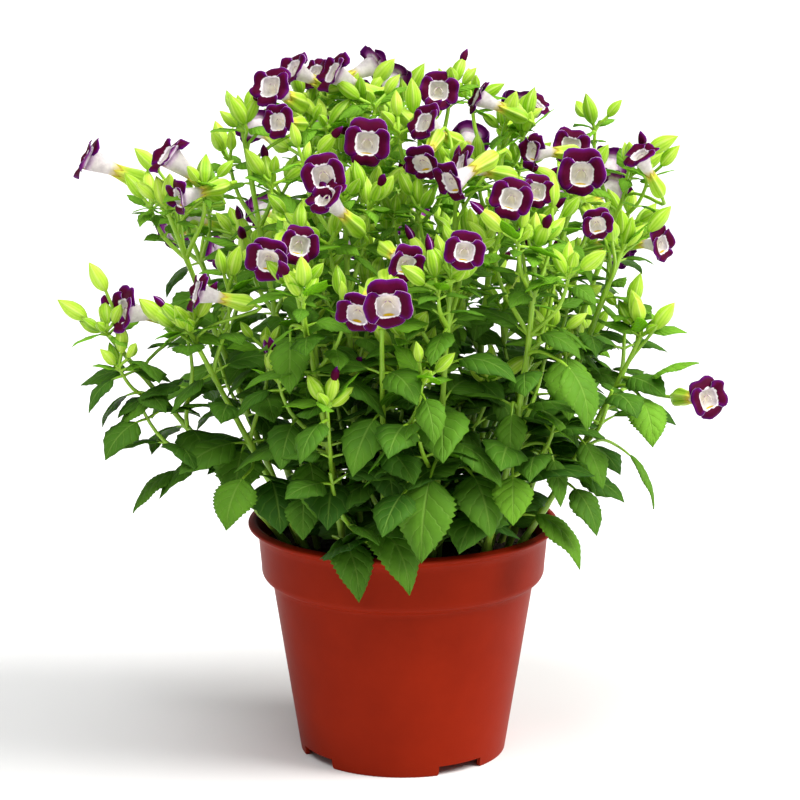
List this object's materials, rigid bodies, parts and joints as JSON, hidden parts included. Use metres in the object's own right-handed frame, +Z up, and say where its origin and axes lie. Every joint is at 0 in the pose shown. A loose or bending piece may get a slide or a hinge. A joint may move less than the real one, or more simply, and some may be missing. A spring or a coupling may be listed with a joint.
{
  "type": "potted torenia",
  "caption": "Bushy potted wishbone-flower plant: toothed green leaves and burgundy, white-throated trumpet flowers over a red-brown plastic nursery pot.",
  "frame": {"origin": "on the table, under the middle of the pot", "axes": "+Z up through the plant, -Y towards the front, +X to the right seen from the front"},
  "size_m": [0.3305, 0.2853, 0.3555],
  "materials": {
    "pot_plastic": "satin",
    "soil": "matte",
    "stem_green": "satin",
    "leaf_green": "satin",
    "petal": "matte"
  },
  "bodies": {
    "root": {"pot": "pot_plastic", "potting_soil": "soil", "stem_01": "stem_green", "stem_02": "stem_green", "stem_03": "stem_green", "stem_04": "stem_green", "stem_05": "stem_green", "stem_06": "stem_green", "stem_07": "stem_green", "stem_08": "stem_green", "stem_09": "stem_green", "stem_10": "stem_green", "stem_11": "stem_green", "stem_12": "stem_green", "stem_13": "stem_green", "stem_14": "stem_green", "stem_15": "stem_green", "stem_16": "stem_green", "stem_17": "stem_green", "stem_18": "stem_green", "stem_19": "stem_green", "stem_20": "stem_green", "stem_21": "stem_green", "stem_22": "stem_green", "stem_23": "stem_green", "stem_24": "stem_green", "leaf_01": "leaf_green", "leaf_02": "leaf_green", "leaf_03": "leaf_green", "leaf_04": "leaf_green", "leaf_05": "leaf_green", "leaf_06": "leaf_green", "leaf_07": "leaf_green", "leaf_08": "leaf_green", "leaf_09": "leaf_green", "leaf_10": "leaf_green", "leaf_11": "leaf_green", "leaf_12": "leaf_green", "leaf_13": "leaf_green", "leaf_14": "leaf_green", "flower_01": "petal", "flower_02": "petal", "flower_03": "petal", "flower_04": "petal", "flower_05": "petal", "flower_06": "petal", "flower_07": "petal", "flower_08": "petal", "flower_09": "petal", "flower_10": "petal", "flower_11": "petal", "flower_12": "petal", "flower_13": "petal", "flower_14": "petal", "flower_15": "petal", "flower_16": "petal", "flower_17": "petal", "flower_18": "petal", "flower_19": "petal", "flower_20": "petal"}
  },
  "joints": []
}
